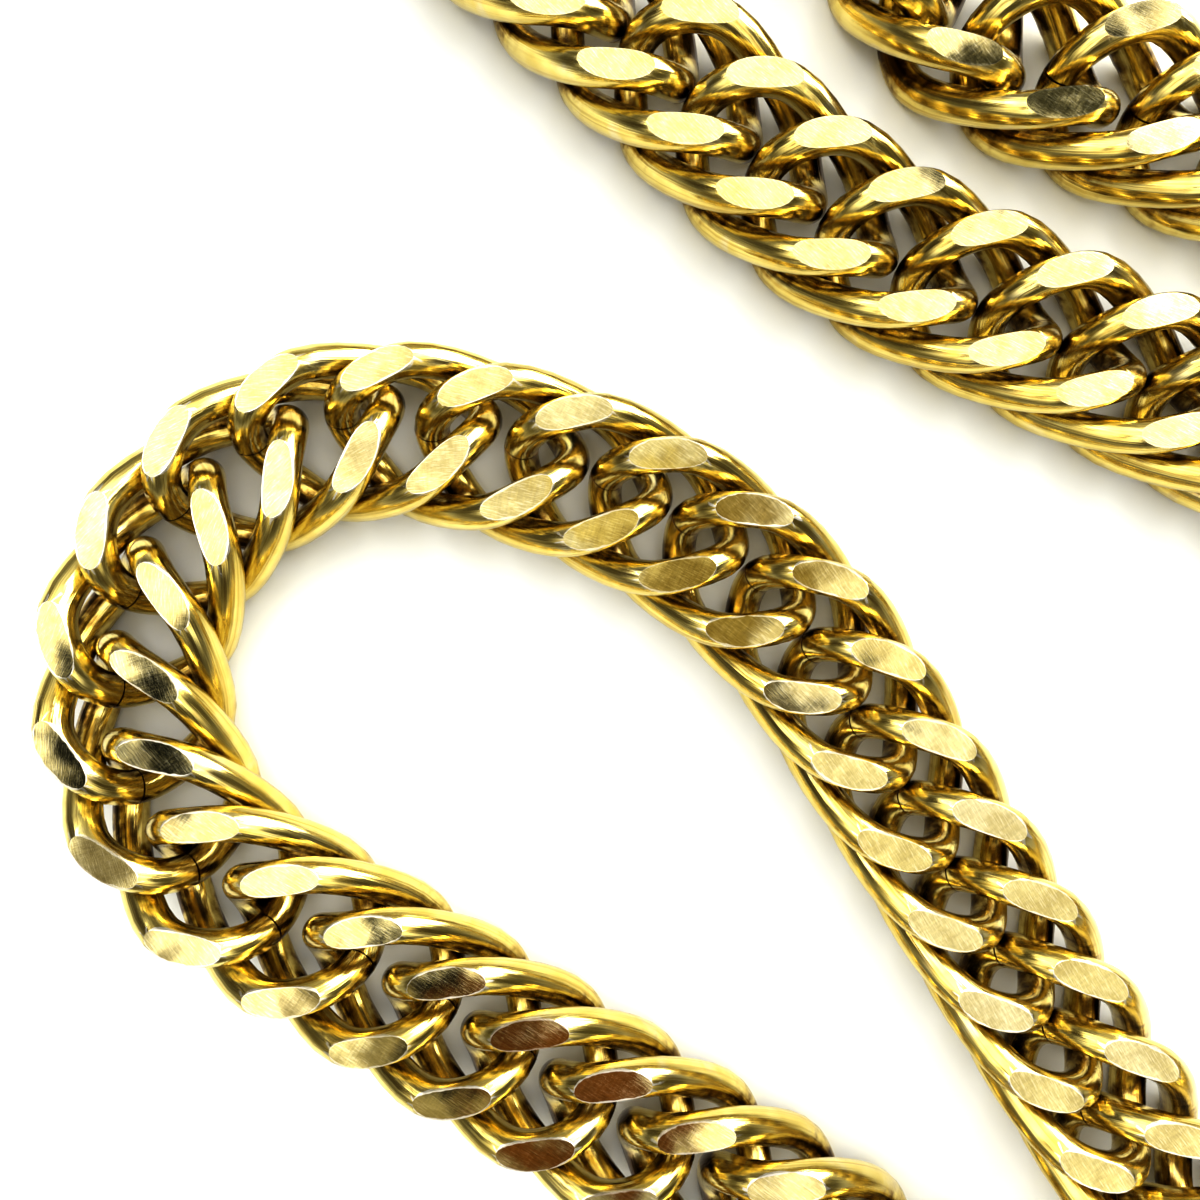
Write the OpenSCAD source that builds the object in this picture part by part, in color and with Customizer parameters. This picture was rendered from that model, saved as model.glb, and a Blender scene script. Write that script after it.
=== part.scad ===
// Double curb chain necklace, lying flat in its closed run and joined by one plain clasp.
// Frame: millimetres, +Z up, origin at the centre of the footprint on the resting plane.

/* [Chain] */
// Width across the chain, which the links and the whole run are scaled by
chain_w = 12; // [8:0.5:16]
// Wire thickness as a share of the chain width
wire_share = 0.19; // [0.15:0.005:0.19]
// Depth ground off each flat as a share of the wire thickness
ground_share = 0.24; // [0.14:0.01:0.26]

/* [Clasp] */
// Length of the clasp body as a share of the chain width
clasp_len_share = 1.5; // [1.3:0.05:1.7]
// Width of the clasp body as a share of the chain width
clasp_w_share = 0.85; // [0.6:0.05:0.95]
// Bevel along the edges of the clasp body as a share of the wire thickness
clasp_bevel_share = 0.5; // [0.2:0.05:0.8]

/* [Hidden] */
// Rings of corners round a link, and corners of each ring
rings = 16;
sides = 5;
// Reach of the corners as a share of the wire's radius, which keeps the bulk near a round wire's
corner_share = 1.03;
// Waves that bend a link's plain oval: third and fifth along it and across it, as shares of
// its half length and half width, then second, fourth and sixth upwards, as shares of its half width
waves_along = [0.02, 0.02];
waves_across = [-0.03, -0.016];
waves_up = [-0.578, -0.02, -0.012];
// Step of the taut chain, and the play left in it, as shares of the chain width
pitch_share = 0.5625;
play_share = 0.0125;
// Change of the angle round a link over which the direction of its wire is taken
turn_step = 0.5;
// Steps of the chain over which a link's heading is taken
heading_reach = 0.6;
// Longest step along a bend of the run
bend_step = 2;
// Clearance between the clasp's eye and the link through it, and the eye's wire, as shares
eye_play_share = 0.025;
eye_wire_share = 0.7;

// Bends of the run at the drawn width: centre x, y, radius, side and how slack the links lie
// The side is 1 for a turn to the left and -1 for a turn to the right
drawn_w = 12;
bends = [
    [56, -44, 28, -1, 0.955],
    [-8.5, -76, 40, 1, 0.965],
    [-14.3, -5.5, 17, -1, 0.91],
    [-15.2, -27, 38, -1, 0.905],
    [52, -30.5, 17, 1, 0.91],
    [36, -12.5, 25, 1, 0.915],
    [50.7, 74.8, 60, -1, 0.905],
    [3, 60.5, 17, -1, 0.91],
    [36.5, 52, 17, 1, 0.905],
    [59, -4, 25, -1, 0.95]
];

wire_d = wire_share * chain_w;
wire_r = wire_d / 2;
pitch = pitch_share * chain_w;
link_len = 2 * pitch + 2 * wire_d + play_share * chain_w;
half_len = (link_len - wire_d) / 2;
half_w = (chain_w - wire_d) / 2;

// Centre line of a link against the angle t round it
plain_along = 1 - waves_along[0] - waves_along[1];
widest = 1 - waves_across[0] + waves_across[1];
function along(t) = plain_along * cos(t) + waves_along[0] * cos(3 * t) + waves_along[1] * cos(5 * t);
function across(t) = (sin(t) + waves_across[0] * sin(3 * t) + waves_across[1] * sin(5 * t)) / widest;
function up(t) = waves_up[0] * sin(2 * t) + waves_up[1] * sin(4 * t) + waves_up[2] * sin(6 * t);
function wire_at(t) = [half_len * along(t), half_w * across(t), half_w * up(t)];
// Slope of the wire at a link's tip
tip_slope = atan(-up(turn_step) / across(turn_step));
function unit(v) = v / norm(v);

// Height of the ground flats over the middle plane, and half the angle that they cut off a wire
crest = max([for (t = [90:180]) wire_at(t)[2]]);
flat_z = crest + wire_r - ground_share * wire_d;
corner_r = corner_share * wire_r;
cut_half = acos((flat_z - crest) / corner_r);

// Corners of a ring as angles from its top towards its outside
shoulder = (180 + cut_half) / 2;
top_corners = [cut_half, shoulder, 180, 360 - shoulder, 360 - cut_half];
foot_corners = [0, 180 - shoulder, 180 - cut_half, 180 + cut_half, 180 + shoulder];
side_corners = (top_corners + foot_corners) / 2;
function ring_angle(i) = (i + 0.5) * 360 / rings;
// Each quarter of a link has its flat on its two middle rings, below in the first and third
quarter = rings / 4;
function in_middle(i) = i % quarter != 0 && i % quarter != quarter - 1;
function above(i) = floor(i / quarter) % 2 == 1;
function ring_corners(i) =
    !in_middle(i) ? side_corners : above(i) ? top_corners : foot_corners;
function flat_side(i, k) =
    !in_middle(i) ? 0
    : above(i) ? (k == 0 || k == sides - 1 ? 1 : 0)
    : (k == 2 || k == 3 ? -1 : 0);
function ring_at(i) =
    let (
        t = ring_angle(i),
        ahead = unit(wire_at(t + turn_step) - wire_at(t - turn_step)),
        top = unit([0, 0, 1] - ahead[2] * ahead),
        out = cross(ahead, top),
        angles = ring_corners(i)
    )
    [for (k = [0:sides - 1])
        let (p = wire_at(t) + corner_r * (cos(angles[k]) * top + sin(angles[k]) * out))
        flat_side(i, k) == 0 ? p : [p[0], p[1], flat_side(i, k) * flat_z]];
link_points = [for (i = [0:rings - 1]) each ring_at(i)];

// Run of the chain: arcs round the bends, joined by straight lines that touch them
run_scale = chain_w / drawn_w;
bend_n = len(bends);
function bend(i) = bends[(i + bend_n) % bend_n];
function positive(a) = a - 360 * floor(a / 360);
function line_heading(a, b) =
    atan2(b[1] - a[1], b[0] - a[0])
    - asin((b[3] * b[2] - a[3] * a[2]) / norm([b[0] - a[0], b[1] - a[1]]));
headings = [for (i = [0:bend_n - 1]) line_heading(bend(i), bend(i + 1))];
function arc_points(b, from, turn, n) =
    [for (j = [0:n])
        let (h = from + b[3] * turn * j / n)
        [b[0] + b[3] * b[2] * sin(h), b[1] - b[3] * b[2] * cos(h), b[4]]];
arcs = [for (i = [0:bend_n - 1])
    let (
        b = bends[i],
        from = headings[(i + bend_n - 1) % bend_n],
        turn = positive(b[3] * (headings[i] - from)),
        n = max(2, ceil(b[2] * turn * PI / 180 / bend_step))
    )
    each arc_points(b, from, turn, n)];
clasp_place = (arcs[0] + arcs[len(arcs) - 1]) / 2;
run = [for (p = [clasp_place, each arcs, clasp_place])
    [p[0] * run_scale, p[1] * run_scale, p[2]]];
last = len(run) - 1;
function stretch(i) =
    i < last ? norm([run[i + 1][0] - run[i][0], run[i + 1][1] - run[i][1]]) : 0;
function steps(i) =
    i < last ? stretch(i) / (pitch * (run[i][2] + run[i + 1][2]) / 2) : 0;
lengths = [for (i = 0, s = 0; i <= last; s = s + stretch(i), i = i + 1) s];
counts = [for (i = 0, c = 0; i <= last; c = c + steps(i), i = i + 1) c];
count_at = [for (i = [0:last]) [lengths[i], counts[i]]];
x_at = [for (i = [0:last]) [counts[i], run[i][0]]];
y_at = [for (i = [0:last]) [counts[i], run[i][1]]];
function place(c) = [lookup(c, x_at), lookup(c, y_at)];

// Clasp sizes, and its reach to the middle of the first link
clasp_len = clasp_len_share * chain_w;
clasp_w = clasp_w_share * chain_w;
clasp_bevel = clasp_bevel_share * wire_d;
eye_d = eye_wire_share * wire_d;
eye_r = wire_r + eye_play_share * chain_w + eye_d / 2;
reach = clasp_len / 2 + eye_r + half_len;

// Places and headings of the links, shared out evenly between the clasp's two ends
first = lookup(reach, count_at);
end = lookup(lengths[last] - reach, count_at);
link_n = round(end - first) + 1;
links = [for (j = [0:link_n - 1])
    let (
        c = first + (end - first) * j / (link_n - 1),
        d = place(c + heading_reach) - place(c - heading_reach)
    )
    [place(c)[0], place(c)[1], atan2(d[1], d[0])]];
half_n = floor(link_n / 2);

function moved(p, l) = [
    l[0] + p[0] * cos(l[2]) - p[1] * sin(l[2]),
    l[1] + p[0] * sin(l[2]) + p[1] * cos(l[2]),
    p[2]
];
spread = [for (l = links) for (p = link_points) moved(p, l)];
spread_x = [for (p = spread) p[0]];
spread_y = [for (p = spread) p[1]];
shift = [-(min(spread_x) + max(spread_x)) / 2, -(min(spread_y) + max(spread_y)) / 2, flat_z];

link_faces = [for (i = [0:rings - 1]) for (k = [0:sides - 1])
    let (
        a = i * sides + k,
        b = i * sides + (k + 1) % sides,
        c = ((i + 1) % rings) * sides + (k + 1) % sides,
        d = ((i + 1) % rings) * sides + k
    )
    each [[a, d, c], [a, c, b]]];
corner_n = rings * sides;

gold = [0.83, 0.66, 0.27];

module links_between(from, to) {
    color(gold)
    polyhedron(
        points = [for (j = [from:to]) for (p = link_points) moved(p, links[j]) + shift],
        faces = [for (j = [0:to - from]) for (f = link_faces) [for (v = f) v + j * corner_n]]
    );
}

module chain_first_half() {
    links_between(0, half_n - 1);
}

module chain_second_half() {
    links_between(half_n, link_n - 1);
}

module clasp_body() {
    low = clasp_bevel;
    hull() {
        cube([clasp_len, clasp_w - 2 * low, 2 * flat_z - 2 * low], center = true);
        cube([clasp_len - 2 * low, clasp_w, 2 * flat_z - 2 * low], center = true);
        cube([clasp_len - 2 * low, clasp_w - 2 * low, 2 * flat_z], center = true);
    }
}

module clasp_eye(side) {
    translate([side * (clasp_len / 2 + eye_r), 0, 0])
    rotate([side * (tip_slope - 90), 0, 0])
    rotate_extrude($fn = 48)
    translate([eye_r, 0])
    circle(d = eye_d, $fn = 24);
}

module clasp() {
    color(gold)
    translate([run[0][0], run[0][1], 0] + shift)
    rotate([0, 0, headings[bend_n - 1]])
    union() {
        clasp_body();
        clasp_eye(-1);
        clasp_eye(1);
    }
}

chain_first_half();
chain_second_half();
clasp();
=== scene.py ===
import math

import bpy
import numpy as np
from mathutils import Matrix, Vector
from mathutils.bvhtree import BVHTree


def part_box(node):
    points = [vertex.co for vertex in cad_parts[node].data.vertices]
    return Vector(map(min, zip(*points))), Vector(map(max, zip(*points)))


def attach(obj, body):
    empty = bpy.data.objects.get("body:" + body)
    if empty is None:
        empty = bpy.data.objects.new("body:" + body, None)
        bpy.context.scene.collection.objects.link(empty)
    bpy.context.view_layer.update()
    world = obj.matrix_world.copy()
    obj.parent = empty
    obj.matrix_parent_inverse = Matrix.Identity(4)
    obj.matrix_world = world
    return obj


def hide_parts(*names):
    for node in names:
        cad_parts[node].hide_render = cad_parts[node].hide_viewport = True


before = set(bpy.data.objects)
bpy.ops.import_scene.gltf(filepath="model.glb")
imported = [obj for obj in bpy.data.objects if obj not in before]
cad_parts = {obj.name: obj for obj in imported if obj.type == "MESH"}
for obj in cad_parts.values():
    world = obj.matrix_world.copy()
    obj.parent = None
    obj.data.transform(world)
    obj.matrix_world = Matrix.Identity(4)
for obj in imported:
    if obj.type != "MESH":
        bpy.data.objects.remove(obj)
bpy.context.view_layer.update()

MM = 0.001

# Sizes of a link and of the run, as in the part's source, in millimetres
CHAIN_W = 12.0
WIRE_D = 0.19 * CHAIN_W
WIRE_R = WIRE_D / 2
PITCH = 0.5625 * CHAIN_W
PLAY = 0.0125 * CHAIN_W
HALF_LEN = (2 * PITCH + WIRE_D + PLAY) / 2
HALF_W = (CHAIN_W - WIRE_D) / 2
GROUND = 0.24 * WIRE_D
EYE_PLAY = 0.025 * CHAIN_W
EYE_WIRE_R = 0.35 * WIRE_D
CLASP_HALF_LEN = 0.75 * CHAIN_W
EYE_R = WIRE_R + EYE_PLAY + EYE_WIRE_R
REACH = CLASP_HALF_LEN + EYE_R + HALF_LEN
# Steps of the chain over which a link's heading is taken, and the longest step along a bend
HEADING_REACH = 0.6
BEND_STEP = 2
# Waves that bend a link's plain oval, along it, across it and upwards
ALONG = (0.02, 0.02)
ACROSS = (-0.03, -0.016)
UP = (-0.578, -0.02, -0.012)
# Bends of the run: centre x, y, radius, side (1 turns left) and how slack the links lie
BENDS = [
    (56, -44, 28, -1, 0.955),
    (-8.5, -76, 40, 1, 0.965),
    (-14.3, -5.5, 17, -1, 0.91),
    (-15.2, -27, 38, -1, 0.905),
    (52, -30.5, 17, 1, 0.91),
    (36, -12.5, 25, 1, 0.915),
    (50.7, 74.8, 60, -1, 0.905),
    (3, 60.5, 17, -1, 0.91),
    (36.5, 52, 17, 1, 0.905),
    (59, -4, 25, -1, 0.95),
]

# Radius of the wire that is shown, and the change of the angle that its direction is taken over
SHOWN_R = 1.18
TURN_STEP = 0.004
# Rings of corners from a tip to a flat, over a flat, along a side, and on to the next tip
TIP_RINGS, FLAT_RINGS, SIDE_RINGS, SEAM_TIP_RINGS = 6, 12, 6, 4
# Corners round the wire. On each side of its top and of its foot SPAN belongs to a flat
SIDES = 24
SPAN = math.pi / 4
# Away from a flat those corners spread from EDGE_ANGLE back to even steps
EDGE_ANGLE = 0.03
SPREAD = 3.0
# Half angle of the seam at one tip of a link, and how deep it is
SEAM = 0.008
SEAM_DEPTH = 0.17
# Middle of a flat, and how much its face leans outwards for each millimetre from there
FLAT_MID = (5.33, 3.23)
DOME = 0.006
TINY = 1e-9


def wire_at(t):
    """Centre line of a link at the angles t, in radians, as rows of x, y, z."""
    x = (1 - sum(ALONG)) * np.cos(t) + ALONG[0] * np.cos(3 * t) + ALONG[1] * np.cos(5 * t)
    y = np.sin(t) + ACROSS[0] * np.sin(3 * t) + ACROSS[1] * np.sin(5 * t)
    y = y / (1 - ACROSS[0] + ACROSS[1])
    z = UP[0] * np.sin(2 * t) + UP[1] * np.sin(4 * t) + UP[2] * np.sin(6 * t)
    return np.stack([HALF_LEN * x, HALF_W * y, HALF_W * z], -1)


def wire_frame(t):
    """Centre line, and the directions towards the wire's top and out, at the angles t."""
    ahead = wire_at(t + TURN_STEP) - wire_at(t - TURN_STEP)
    ahead /= np.linalg.norm(ahead, axis=-1)[..., None]
    top = np.array([0, 0, 1]) - ahead[..., 2:3] * ahead
    top /= np.linalg.norm(top, axis=-1)[..., None]
    return wire_at(t), top, np.cross(ahead, top)


CREST = wire_at(np.radians(np.arange(90, 181)))[:, 2].max()
FLAT_Z = CREST + WIRE_R - GROUND


def line_heading(a, b):
    """Heading of the straight line that touches the bends a and b."""
    dx, dy = b[0] - a[0], b[1] - a[1]
    return math.atan2(dy, dx) - math.asin((b[3] * b[2] - a[3] * a[2]) / math.hypot(dx, dy))


def run_of_chain():
    """Points along the run from the clasp, their distance and their count of steps."""
    headings = [line_heading(a, b) for a, b in zip(BENDS, BENDS[1:] + BENDS[:1])]
    points = []
    for i, (x, y, r, side, slack) in enumerate(BENDS):
        start = headings[i - 1]
        turn = (side * (headings[i] - start)) % (2 * math.pi)
        parts = max(2, math.ceil(r * turn / BEND_STEP))
        for j in range(parts + 1):
            h = start + side * turn * j / parts
            points.append((x + side * r * math.sin(h), y - side * r * math.cos(h), slack))
    points = np.array(points)
    middle = (points[0] + points[-1]) / 2
    points = np.vstack([middle, points, middle])
    gap = np.hypot(*np.diff(points[:, :2], axis=0).T)
    step = PITCH * (points[:-1, 2] + points[1:, 2]) / 2
    return points, np.r_[0, np.cumsum(gap)], np.r_[0, np.cumsum(gap / step)]


run, run_length, run_count = run_of_chain()


def place_at(count):
    """Places on the run, as x and y, at the counts of steps from the clasp."""
    return np.interp(count, run_count, run[:, 0]), np.interp(count, run_count, run[:, 1])


# Places and headings of the links, shared out evenly between the clasp's two ends
first, end = np.interp((REACH, run_length[-1] - REACH), run_length, run_count)
LINKS = int(round(end - first)) + 1
HALF_N = LINKS // 2
counts = first + (end - first) * np.arange(LINKS) / (LINKS - 1)
link_x, link_y = place_at(counts)
x_before, y_before = place_at(counts - HEADING_REACH)
x_after, y_after = place_at(counts + HEADING_REACH)
link_turn = np.arctan2(y_after - y_before, x_after - x_before)

# The frame's origin against the run's own, from where the clasp lies in both
clasp_lo, clasp_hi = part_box("clasp")
clasp_mid = np.array([(clasp_lo[i] + clasp_hi[i]) / 2 / MM for i in range(2)])
SHIFT = np.array([clasp_mid[0] - run[0, 0], clasp_mid[1] - run[0, 1], FLAT_Z])

# The stretch of angles round a link in which its wire reaches over the flat
fine = np.radians(np.arange(90, 180, 0.1))
fine_mid, fine_top, _ = wire_frame(fine)
cut_zone = fine[fine_mid[:, 2] + SHOWN_R * fine_top[:, 2] > FLAT_Z]
CUT_FROM, CUT_TO = cut_zone[0], cut_zone[-1]


def eased(a, b, n):
    """n steps from a towards b, shorter near both ends."""
    return a + (b - a) * (1 - np.cos(math.pi * np.arange(n) / n)) / 2


# Angles of a link's rings: closer together where it is ground flat, with a seam at one tip
half_turns = np.r_[
    np.linspace(0, math.pi - CUT_TO, TIP_RINGS, endpoint=False),
    eased(math.pi - CUT_TO, math.pi - CUT_FROM, FLAT_RINGS),
    np.linspace(math.pi - CUT_FROM, CUT_FROM, SIDE_RINGS, endpoint=False),
    eased(CUT_FROM, CUT_TO, FLAT_RINGS),
    np.linspace(CUT_TO, math.pi, SEAM_TIP_RINGS, endpoint=False),
]
turns = np.sort(np.r_[half_turns, half_turns + math.pi, math.pi - SEAM, math.pi + SEAM])
at_seam = np.abs(turns - math.pi) < TINY


def half_angle(t, height, edges):
    """Half angle of the wire's stretch that a flat cuts off, or that its corners keep."""
    if height < 1:
        return math.acos(height), True
    gap = min(abs(t - edge) for edge in edges)
    return min(SPAN, EDGE_ANGLE + SPREAD * gap), False


def corner_angle(even, half_up, half_down):
    """Angle of a corner from the wire's top, from its angle in even steps."""
    m = min(even, 2 * math.pi - even)
    if m <= SPAN + TINY:
        a = m / SPAN * half_up
    elif m < 3 * SPAN - TINY:
        a = half_up + (m - SPAN) / (2 * SPAN) * (math.pi - half_down - half_up)
    else:
        a = math.pi - (math.pi - m) / SPAN * half_down
    return 2 * math.pi - a if even > math.pi else a


def link_corners():
    """Corners of one smooth link, ring by ring, with what the shading and the looks need."""
    mid, top, out = wire_frame(turns)
    shape = (len(turns), SIDES)
    co, normal = np.zeros((*shape, 3)), np.zeros((*shape, 3))
    rim, angle, flat = np.zeros(shape), np.zeros(shape), np.zeros(shape, bool)
    for i, turn in enumerate(turns):
        t = turn % math.pi
        reach = SHOWN_R * top[i, 2]
        half_up, cut_up = half_angle(
            t, (FLAT_Z - mid[i, 2]) / reach, (CUT_FROM, CUT_TO, CUT_TO - math.pi))
        half_down, cut_down = half_angle(
            t, (FLAT_Z + mid[i, 2]) / reach,
            (math.pi - CUT_TO, math.pi - CUT_FROM, 2 * math.pi - CUT_TO))
        r = SHOWN_R - SEAM_DEPTH if at_seam[i] else SHOWN_R
        for k in range(SIDES):
            even = 2 * math.pi * k / SIDES
            m = min(even, 2 * math.pi - even)
            a = corner_angle(even, half_up, half_down)
            way = math.cos(a) * top[i] + math.sin(a) * out[i]
            co[i, k] = mid[i] + r * way
            if cut_up and m <= SPAN + TINY:
                co[i, k, 2], flat[i, k] = FLAT_Z, True
                rim[i, k] = m > SPAN - TINY
            if cut_down and m >= 3 * SPAN - TINY:
                co[i, k, 2], flat[i, k] = -FLAT_Z, True
                rim[i, k] = m < 3 * SPAN + TINY
            normal[i, k], angle[i, k] = way, a
    wire = np.stack([np.repeat(turns, SIDES) / (2 * math.pi),
                     np.cos(angle.ravel()), np.sin(angle.ravel())], 1)
    return co.reshape(-1, 3), normal.reshape(-1, 3), rim.ravel(), flat.ravel(), wire


def link_faces(co, normal, flat):
    """Quads of a link, their shading normals, and which lie on a flat or in the seam."""
    n = len(turns)
    i, k = (v.ravel() for v in np.meshgrid(np.arange(n), np.arange(SIDES), indexing="ij"))
    j, m = (i + 1) % n, (k + 1) % SIDES
    quads = np.stack([i * SIDES + k, i * SIDES + m, j * SIDES + m, j * SIDES + k], 1)
    on_flat = flat[quads].all(1)
    in_seam = at_seam[i] | at_seam[j]
    # the round wire's own direction, a slight dome on a flat, and the face's own in the seam
    shade = normal[quads]
    ground = co[quads[on_flat]]
    off = ground[:, :, :2] - np.sign(ground[:, :, :2]) * FLAT_MID
    domed = np.concatenate([DOME * off, np.sign(ground[:, :, 2:3])], 2)
    shade[on_flat] = domed / np.linalg.norm(domed, axis=2)[..., None]
    side_a = co[quads[in_seam, 2]] - co[quads[in_seam, 0]]
    side_b = co[quads[in_seam, 3]] - co[quads[in_seam, 1]]
    facing = np.cross(side_a, side_b)
    shade[in_seam] = (facing / np.linalg.norm(facing, axis=1)[:, None])[:, None]
    return quads, shade, on_flat, in_seam


corners, corner_normal, rim, corner_flat, wire = link_corners()
quads, shade, quad_flat, quad_seam = link_faces(corners, corner_normal, corner_flat)

# Stretch in which the crevices are measured: its links, their step, the rays from a corner,
# how far they reach and how far over the corner they start
STRETCH = 7
STRETCH_STEP = 0.92 * PITCH
RAYS = 40
NEAR = 2.6
LIFT = 0.02


def crevice_depth():
    """Share of the directions over each corner that the links of a straight stretch close off."""
    middle = STRETCH // 2
    stretch = np.vstack([corners + ((j - middle) * STRETCH_STEP, 0, 0) for j in range(STRETCH)])
    faces = np.vstack([quads + j * len(corners) for j in range(STRETCH)])
    tree = BVHTree.FromPolygons(stretch.tolist(), faces.tolist())
    i = np.arange(RAYS) + 0.5
    spin = i * math.pi * (3 - math.sqrt(5))
    out = np.sqrt(i / RAYS)
    rays = np.stack([out * np.cos(spin), out * np.sin(spin), np.sqrt(1 - i / RAYS)], 1)
    facing = np.zeros_like(corners)
    for k in range(4):
        np.add.at(facing, quads[:, k], shade[:, k])
    facing /= np.linalg.norm(facing, axis=1)[:, None]
    closed = np.zeros(len(corners))
    for v, (p, z) in enumerate(zip(corners, facing)):
        # any direction square to z will do for the rays' own x
        x = np.cross(z, (0.6, 0.3, 0.7) if abs(z[0]) < 0.8 else (0, 1, 0))
        x /= np.linalg.norm(x)
        start = (p + LIFT * z).tolist()
        for way in rays @ np.stack([x, np.cross(z, x), z]):
            hit = tree.ray_cast(start, way.tolist(), NEAR)[3]
            closed[v] += 0 if hit is None else 1 - hit / NEAR
    return closed / RAYS


# the closed-off share is painted on the wire as shade, with tarnish and dirt, in wire_colour
crevice = crevice_depth()

# The flats' edges are rubbed pale along the lower part of the run. That wear fades past the
# line y + FAR_SLOPE * x = FAR_START, over FAR_FADE millimetres and by the share FAR_LOSS
LEAST_WORN = 0.55
FAR_SLOPE, FAR_START, FAR_FADE, FAR_LOSS = 0.6, 20, 8, 0.85
rng = np.random.default_rng(7)
tone = rng.random(LINKS)
far_side = np.clip((link_y + FAR_SLOPE * link_x - FAR_START) / FAR_FADE, 0, 1)
worn = (LEAST_WORN + (1 - LEAST_WORN) * rng.random(LINKS)) * (1 - FAR_LOSS * far_side)


def keep(mesh, name, domain, values):
    """Store values on a mesh as an attribute, vectors where they have three columns."""
    kind, field = ("FLOAT_VECTOR", "vector") if values.ndim == 2 else ("FLOAT", "value")
    made = mesh.attributes.new(name, kind, domain)
    made.data.foreach_set(field, values.astype(np.float32).ravel())


def chain_piece(name, links):
    """One mesh holding the links numbered in links, in metres in the part's frame."""
    n, m = len(corners), len(links)
    c, s = np.cos(link_turn[links])[:, None], np.sin(link_turn[links])[:, None]
    co = np.stack([
        link_x[links][:, None] + corners[:, 0] * c - corners[:, 1] * s + SHIFT[0],
        link_y[links][:, None] + corners[:, 0] * s + corners[:, 1] * c + SHIFT[1],
        np.tile(corners[:, 2] + SHIFT[2], (m, 1)),
    ], -1)
    faces = (quads[None] + (np.arange(m) * n)[:, None, None]).reshape(-1, 4)
    mesh = bpy.data.meshes.new(name)
    mesh.vertices.add(n * m)
    mesh.vertices.foreach_set("co", (co * MM).astype(np.float32).ravel())
    mesh.loops.add(faces.size)
    mesh.loops.foreach_set("vertex_index", faces.astype(np.int32).ravel())
    mesh.polygons.add(len(faces))
    mesh.polygons.foreach_set("loop_start", np.arange(0, faces.size, 4, dtype=np.int32))
    mesh.polygons.foreach_set("loop_total", np.full(len(faces), 4, dtype=np.int32))
    mesh.update(calc_edges=True)
    mesh.polygons.foreach_set("use_smooth", np.ones(len(faces), bool))
    link_look = np.stack([tone[links], worn[links], np.array(links) / LINKS], 1)
    keep(mesh, "ground", "FACE", np.tile(quad_flat, m))
    keep(mesh, "rim", "POINT", np.tile(rim, m))
    keep(mesh, "local", "POINT", np.tile(corners, (m, 1)))
    keep(mesh, "crevice", "POINT", np.tile(crevice, m))
    keep(mesh, "wire", "POINT", np.tile(wire, (m, 1)))
    keep(mesh, "link_look", "FACE", np.repeat(link_look, len(quads), axis=0))
    keep(mesh, "seam", "FACE", np.tile(quad_seam, m))
    x, y, z = np.tile(shade.reshape(-1, 3), (m, 1)).T
    heading = np.repeat(link_turn[links], shade.size // 3)
    c, s = np.cos(heading), np.sin(heading)
    turned = np.stack([x * c - y * s, x * s + y * c, z], 1)
    mesh.normals_split_custom_set(turned.astype(np.float32))
    piece = bpy.data.objects.new(name, mesh)
    bpy.context.scene.collection.objects.link(piece)
    return piece


first_half = chain_piece("chain_first_half_smooth", list(range(HALF_N)))
second_half = chain_piece("chain_second_half_smooth", list(range(HALF_N, LINKS)))


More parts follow.
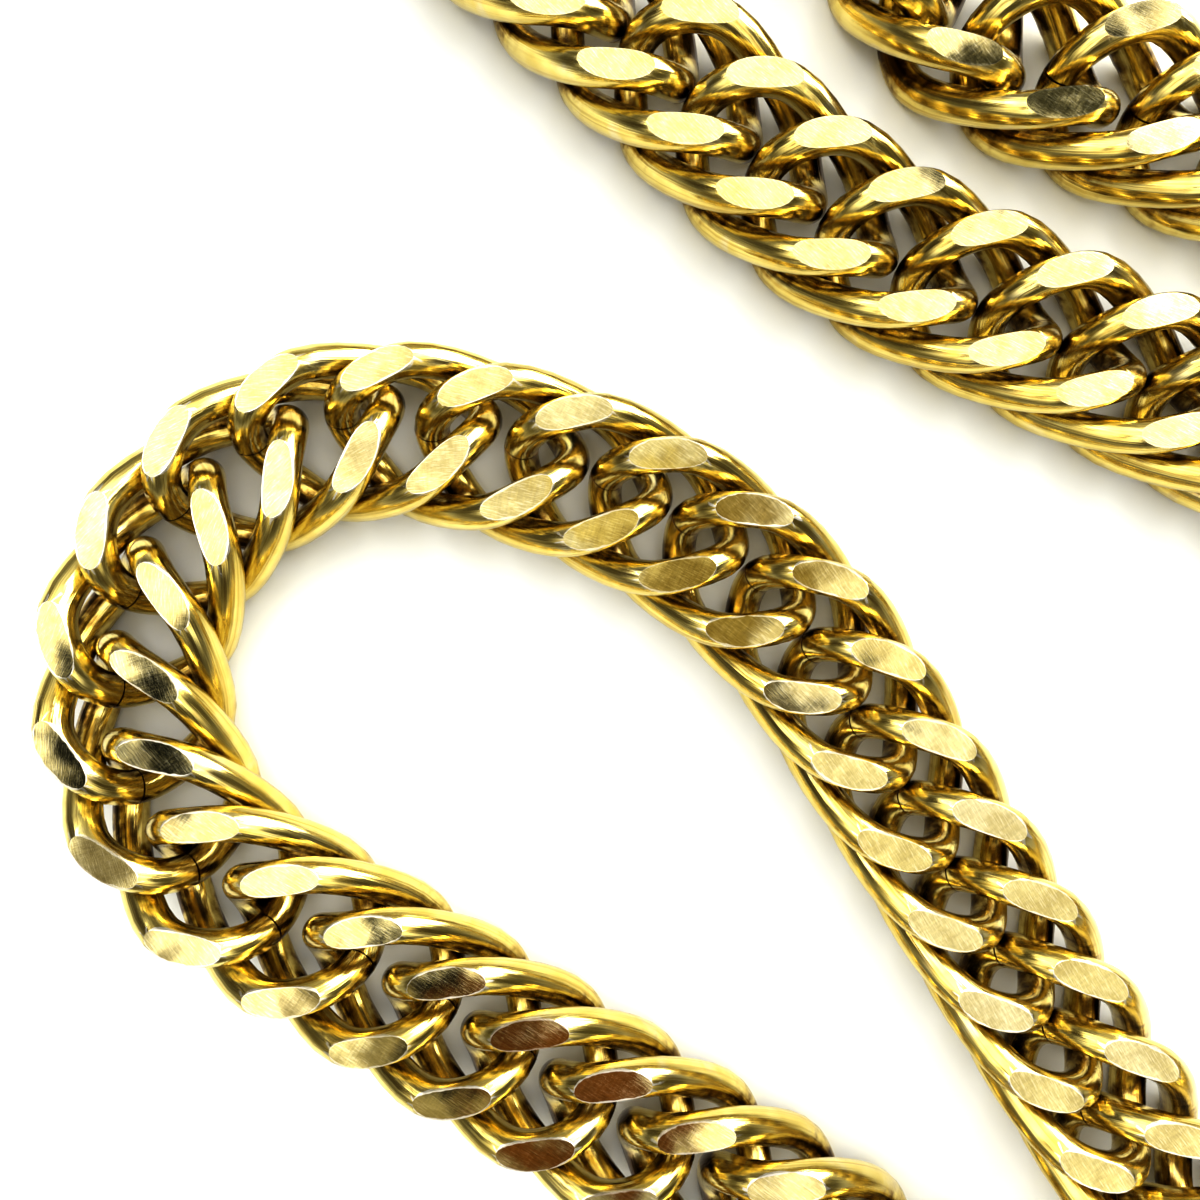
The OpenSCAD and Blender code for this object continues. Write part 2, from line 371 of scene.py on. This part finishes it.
class Nodes:
    """Short way to build a node tree."""

    def __init__(self, tree):
        self.tree = tree
        tree.nodes.clear()

    def put(self, socket, value):
        """Join a socket to another node's output, or set it to a value."""
        if isinstance(value, bpy.types.NodeSocket):
            self.tree.links.new(value, socket)
        else:
            socket.default_value = value

    def add(self, kind, *values, **named):
        """A new node, with inputs given by their order or by their names."""
        node = self.tree.nodes.new(kind)
        for k, value in enumerate(values):
            self.put(node.inputs[k], value)
        for name, value in named.items():
            self.put(node.inputs[name], value)
        return node

    def attribute(self, name, output="Fac"):
        node = self.add("ShaderNodeAttribute")
        node.attribute_name = name
        return node.outputs[output]

    def split(self, vector):
        return self.add("ShaderNodeSeparateXYZ", vector).outputs

    def thrice(self, value):
        return self.add("ShaderNodeCombineXYZ", value, value, value).outputs[0]

    def math(self, op, *values, clamp=False):
        node = self.add("ShaderNodeMath", *values)
        node.operation = op
        node.use_clamp = clamp
        return node.outputs[0]

    def vector(self, op, *values):
        node = self.add("ShaderNodeVectorMath", *values)
        node.operation = op
        return node.outputs["Value" if op == "DOT_PRODUCT" else "Vector"]

    def mix(self, factor, a, b):
        """Mix of two colours."""
        node = self.tree.nodes.new("ShaderNodeMix")
        node.data_type = "RGBA"
        for k, value in ((0, factor), (6, a), (7, b)):
            self.put(node.inputs[k], value)
        return node.outputs[2]

    def mix_values(self, factor, a, b):
        """Mix of two numbers."""
        node = self.tree.nodes.new("ShaderNodeMix")
        node.data_type = "FLOAT"
        for k, value in ((0, factor), (2, a), (3, b)):
            self.put(node.inputs[k], value)
        return node.outputs[0]

    def ramp(self, factor, *stops):
        """Colours, given as place and colour, that follow each other as factor grows."""
        node = self.add("ShaderNodeValToRGB", factor)
        elements = node.color_ramp.elements
        while len(elements) < len(stops):
            elements.new(0.5)
        for element, (place, colour) in zip(elements, stops):
            element.position = place
            element.color = (*colour[:3], 1)
        return node.outputs[0]

    def fade(self, factor, low, high, start=0.0, end=1.0):
        """Grey that goes from start to end while factor goes from low to high."""
        return self.ramp(factor, (low, (start,) * 3), (high, (end,) * 3))

    def noise(self, vector, scale, detail, rough=0.5, output="Fac"):
        node = self.add("ShaderNodeTexNoise", Vector=vector, Scale=scale, Detail=detail)
        node.inputs["Roughness"].default_value = rough
        return node.outputs[output]

    def stretched(self, vector, scale, turn=0.0):
        node = self.add("ShaderNodeMapping", Vector=vector, Scale=scale, Rotation=(0, 0, turn))
        return node.outputs[0]

    def surface(self, colour, **look):
        """Plain shader of that colour and look, as the tree's result."""
        shader = self.add("ShaderNodeBsdfPrincipled", **look)
        self.put(shader.inputs["Base Color"], colour)
        self.add("ShaderNodeOutputMaterial", Surface=shader.outputs[0])


def new_material(name):
    material = bpy.data.materials.new(name)
    material.use_nodes = True
    return material, Nodes(material.node_tree)


# Colours of the chain's gold
BRIGHT = (0.81, 0.69, 0.27, 1)
DEEP = (0.70, 0.555, 0.16, 1)
RUBBED = (0.78, 0.72, 0.52, 1)
STREAK = (0.48, 0.335, 0.07, 1)
# painted shade with tarnish, laid where other links close off the light
TARNISH_AND_SHADE = (0.32, 0.17, 0.02, 1)
# near black painted shade with dirt, in the deepest gaps between links
DIRT_AND_DEEP_SHADE = (0.042, 0.018, 0.002, 1)
CLOUD = (0.44, 0.36, 0.14, 1)
SCRATCHED = (0.80, 0.78, 0.66, 1)
RIM = (0.81, 0.78, 0.69, 1)
SEAM_COLOUR = (0.16, 0.09, 0.03, 1)
FLAT_TONES = [
    (0.0, (0.64, 0.57, 0.31)),
    (0.35, (0.62, 0.54, 0.25)),
    (0.6, (0.60, 0.52, 0.27)),
    (0.85, (0.66, 0.60, 0.37)),
    (1.0, (0.61, 0.52, 0.24)),
]
# Colours of the clasp's gold, which is new
CLASP_BRIGHT = (0.81, 0.69, 0.28, 1)
CLASP_DEEP = (0.71, 0.57, 0.19, 1)
# How far a link's own look moves it in the noise
OWN_PLACE = (37.0, 53.0, 91.0)


def wire_colour(m, own, local, patches, dents):
    """Polished wire: rubbed patches, streaks, and painted shade with tarnish and dirt where other
    links lie close and lower down on a link.
    """
    body = m.mix(m.fade(patches, 0.35, 0.75), BRIGHT, DEEP)
    rubbed = m.fade(m.noise(own, 0.35, 3.0), 0.60, 0.72)
    body = m.mix(m.math("MULTIPLY", rubbed, 0.6), body, RUBBED)
    body = m.mix(m.fade(dents, 0.36, 0.50, 0.65, 0.0), body, STREAK)
    # painted shade: the closed-off share of each corner, blotched by noise and darker lower down
    # on a link, sets the tarnish and the near black dirt
    smudge_and_shade = m.math("MULTIPLY_ADD", m.noise(own, 1.4, 3.0), 0.5, -0.25)
    depth = m.math("ADD", m.attribute("crevice"), m.math("MULTIPLY", smudge_and_shade, 0.8))
    depth = m.math("MULTIPLY_ADD", m.split(local)[2], -0.045, depth)
    body = m.mix(m.fade(depth, 0.10, 0.28, end=0.85), body, TARNISH_AND_SHADE)
    return m.mix(m.fade(depth, 0.17, 0.33, end=0.94), body, DIRT_AND_DEEP_SHADE)


def flat_colour(m, own, link_tone, lines, scratch):
    """Ground flats: a tone for each link, clouds, grain and fine pale scratches."""
    clouds = m.fade(m.noise(own, 0.55, 4.0, 0.6), 0.44, 0.60)
    face = m.mix(m.math("MULTIPLY", clouds, 0.5), m.ramp(link_tone, *FLAT_TONES), CLOUD)
    grain = m.math("MULTIPLY_ADD", m.math("SUBTRACT", scratch, 0.5), 0.9, 0.95)
    face = m.vector("MULTIPLY", face, m.thrice(grain))
    return m.mix(m.fade(lines, 0.52, 0.70, end=0.38), face, SCRATCHED)


def worn_rim(m, own, worn_share):
    """Mask of the pale metal along a flat's edge, where the plate has rubbed off."""
    edge = m.attribute("rim")
    mask = m.math("MULTIPLY_ADD", m.noise(own, 0.9, 3.0), 1.5, m.math("SUBTRACT", edge, 0.75))
    mask = m.math("MULTIPLY", mask, m.math("GREATER_THAN", edge, 0.02))
    return m.math("MULTIPLY", m.fade(mask, 0.56, 0.76), worn_share)


def leaning(m, own, look, ground):
    """Surface direction, with each flat tilted a little its own way and faintly rippled."""
    ripple = m.noise(own, 0.45, 1.0, output="Color")
    sway = m.vector("ADD", m.vector("MULTIPLY", look, (0.35, 0.0, 0.0)), ripple)
    tilt = m.vector("SUBTRACT", sway, (0.68, 0.5, 0.5))
    tilt = m.vector("MULTIPLY", tilt, (0.12, 0.12, 0.0))
    tilt = m.vector("MULTIPLY", tilt, m.thrice(ground))
    normal = m.add("ShaderNodeNewGeometry").outputs["Normal"]
    return m.vector("NORMALIZE", m.vector("ADD", normal, tilt))


def gold_material():
    material, m = new_material("worn_yellow_gold")
    local = m.attribute("local", "Vector")
    look = m.attribute("link_look", "Vector")
    ground = m.attribute("ground")
    link_tone, worn_share, _ = m.split(look)
    # a place of its own in the noise for every link, over its form and along its wire
    own = m.vector("MULTIPLY_ADD", look, OWN_PLACE, local)
    drawn = m.vector("MULTIPLY", look, OWN_PLACE)
    drawn = m.vector("MULTIPLY_ADD", m.attribute("wire", "Vector"), (3.0, 5.0, 5.0), drawn)
    patches = m.noise(own, 0.55, 2.0)
    dents = m.noise(drawn, 1.0, 3.0, 0.6)
    lines = m.noise(m.stretched(own, (1.2, 12.0, 1.0), 0.9), 1.0, 3.0, 0.65)
    cross_lines = m.noise(m.stretched(own, (6.0, 0.7, 1.0), 0.35), 1.0, 3.0, 0.65)
    scratch = m.math("MULTIPLY_ADD", lines, 0.6, m.math("MULTIPLY", cross_lines, 0.4))
    rim_mask = worn_rim(m, own, worn_share)

    body = wire_colour(m, own, local, patches, dents)
    face = flat_colour(m, own, link_tone, lines, scratch)
    colour = m.mix(rim_mask, m.mix(ground, body, face), RIM)
    colour = m.mix(m.attribute("seam"), colour, SEAM_COLOUR)
    rough_face = m.math("MULTIPLY_ADD", scratch, 0.20, -0.02, clamp=True)
    rough_wire = m.math("MULTIPLY_ADD", patches, 0.16, 0.09)
    rough = m.mix_values(rim_mask, m.mix_values(ground, rough_wire, rough_face), 0.30)
    height = m.mix_values(
        ground, m.math("MULTIPLY", dents, 0.9), m.math("MULTIPLY", scratch, 0.10))
    bump = m.add("ShaderNodeBump", Strength=0.35, Distance=0.0001, Height=height,
                 Normal=leaning(m, own, look, ground))
    m.surface(colour, Roughness=rough, Metallic=1.0, Normal=bump.outputs[0])
    return material


def clasp_material():
    material, m = new_material("clasp_yellow_gold")
    place = m.add("ShaderNodeTexCoord").outputs["Object"]
    colour = m.mix(m.fade(m.noise(place, 260.0, 2.0), 0.35, 0.75), CLASP_BRIGHT, CLASP_DEEP)
    lines = m.noise(m.stretched(place, (400.0, 9000.0, 400.0)), 1.0, 2.0)
    rough = m.math("MULTIPLY_ADD", lines, 0.16, 0.14)
    bump = m.add("ShaderNodeBump", Strength=0.2, Distance=0.00005, Height=lines)
    m.surface(colour, Roughness=rough, Metallic=1.0, Normal=bump.outputs[0])
    return material


gold = gold_material()
for piece, node in ((first_half, "chain_first_half"), (second_half, "chain_second_half")):
    piece.data.materials.append(gold)
    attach(piece, "root")
    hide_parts(node)
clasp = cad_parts["clasp"]
clasp.data.materials.clear()
clasp.data.materials.append(clasp_material())


def floor_material():
    material, m = new_material("pale_floor")
    place = m.add("ShaderNodeTexCoord").outputs["Object"]
    grain = m.noise(place, 90.0, 3.0)
    m.surface(m.mix(grain, (0.905, 0.93, 0.925, 1), (0.935, 0.96, 0.96, 1)), Roughness=0.6)
    return material


FLOOR_HALF = 6.0
floor_mesh = bpy.data.meshes.new("floor")
floor_mesh.from_pydata(
    [(x * FLOOR_HALF, y * FLOOR_HALF, 0) for x, y in ((-1, -1), (1, -1), (1, 1), (-1, 1))],
    [], [(0, 1, 2, 3)])
floor = bpy.data.objects.new("floor", floor_mesh)
bpy.context.scene.collection.objects.link(floor)
floor.data.materials.append(floor_material())

# Camera: straight down on a point of the run, close, as the picture is
EYE = (2.6, 1.85, 60.0)
SENSOR_W = 36
FOCAL_SHARE = 882 / 1200
camera_data = bpy.data.cameras.new("camera")
camera_data.sensor_width = SENSOR_W
camera_data.lens = SENSOR_W * FOCAL_SHARE
camera_data.shift_x, camera_data.shift_y = -0.0317, -0.0225
camera_data.clip_start, camera_data.clip_end = 0.001, 20
camera = bpy.data.objects.new("camera", camera_data)
bpy.context.scene.collection.objects.link(camera)
camera.location = [(EYE[i] + offset) * MM for i, offset in enumerate((*SHIFT[:2], FLAT_Z))]
bpy.context.scene.camera = camera


def lamp(name, place, size, power):
    """A soft rectangular light at place, turned to the chain."""
    data = bpy.data.lights.new(name, "AREA")
    data.shape = "RECTANGLE"
    data.size, data.size_y = size
    data.energy = power
    light = bpy.data.objects.new(name, data)
    bpy.context.scene.collection.objects.link(light)
    light.location = place
    light.rotation_euler = (-Vector(place)).to_track_quat("-Z", "Y").to_euler()


lamp("key", (0.80, 0.75, 0.45), (0.9, 0.8), 15.0)

# Surroundings, which the polished metal mirrors: a pale room, by the height of a direction,
# with a darker and warmer band
LEVELS = [(0.0, 0.50), (0.17, 0.42), (0.30, 0.13), (0.44, 0.24),
          (0.60, 1.1), (0.80, 2.0), (0.93, 1.8), (1.0, 1.0)]
BAND = (0.2, 0.5)
WARM_TINT = (1.0, 0.95, 0.80)
PALE_TINT = (1.0, 0.99, 0.98)
# Darker and brighter patches in it
PATCHES = [
    # direction x, y, z; half angle of its middle and of its edge in degrees; colour
    ((-0.52, 0.03, 1), 8, 13, (2.1, 2.05, 1.95)),
    ((0.06, -0.02, 1), 6, 11, (0.50, 0.40, 0.16)),
    ((-0.046, 0.075, 1), 2, 5, (1.1, 1.0, 0.62)),
    ((0.16, -0.12, 1), 2, 4, (0.06, 0.055, 0.04)),
    ((0.24, -0.04, 1), 3, 7, (1.4, 1.36, 1.28)),
    ((0.42, -0.40, 1), 9, 16, (1.2, 1.17, 1.10)),
    ((0.46, 0.56, 1), 3, 6, (0.10, 0.10, 0.085)),
    ((-0.24, -0.60, 1), 5, 10, (0.58, 0.52, 0.36)),
    ((-0.22, -0.47, 1), 2, 5, (0.03, 0.03, 0.03)),
    ((-0.31, -0.40, 1), 1, 3, (0.03, 0.03, 0.03)),
    ((-0.11, -0.53, 1), 3, 6, (0.20, 0.085, 0.025)),
    ((-0.01, -0.59, 1), 4, 7, (0.28, 0.12, 0.035)),
    ((-0.57, -0.20, 1), 3, 7, (0.015, 0.018, 0.018)),
    ((-0.74, -0.43, 1), 3, 8, (0.40, 0.36, 0.28)),
    ((0.0, -0.80, 0.60), 8, 24, (0.10, 0.09, 0.07)),
    ((-0.85, 0.25, 0.47), 10, 24, (0.10, 0.09, 0.07)),
    ((0.80, -0.25, 0.52), 10, 22, (0.12, 0.11, 0.08)),
    ((0.2, 0.86, 0.47), 8, 20, (0.55, 0.53, 0.46)),
    ((0.62, 0.30, 0.72), 7, 12, (3.2, 3.2, 3.15)),
    ((-0.60, 0.42, 0.68), 6, 11, (3.0, 2.95, 2.9)),
]


def surroundings():
    world = bpy.data.worlds.new("studio")
    world.use_nodes = True
    m = Nodes(world.node_tree)
    way = m.add("ShaderNodeTexCoord").outputs["Generated"]
    stops = []
    for height, level in LEVELS:
        tint = WARM_TINT if BAND[0] < height < BAND[1] else PALE_TINT
        stops.append((height, [level * share for share in tint]))
    colour = m.ramp(m.split(way)[2], *stops)
    for middle, inner, outer, shade in PATCHES:
        near = m.vector("DOT_PRODUCT", way, Vector(middle).normalized())
        reach = m.add("ShaderNodeMapRange", near, math.cos(math.radians(outer)),
                      math.cos(math.radians(inner)))
        reach.interpolation_type = "SMOOTHSTEP"
        colour = m.mix(reach.outputs[0], colour, (*shade, 1))
    back = m.add("ShaderNodeBackground", colour)
    m.add("ShaderNodeOutputWorld", back.outputs[0])
    return world


scene = bpy.context.scene
scene.world = surroundings()
scene.cycles.max_bounces = 8
scene.cycles.diffuse_bounces = 3
scene.cycles.glossy_bounces = 6
scene.cycles.blur_glossy = 3.0
scene.view_settings.view_transform = "Standard"
scene.view_settings.exposure = 0.45
scene.view_settings.gamma = 0.69
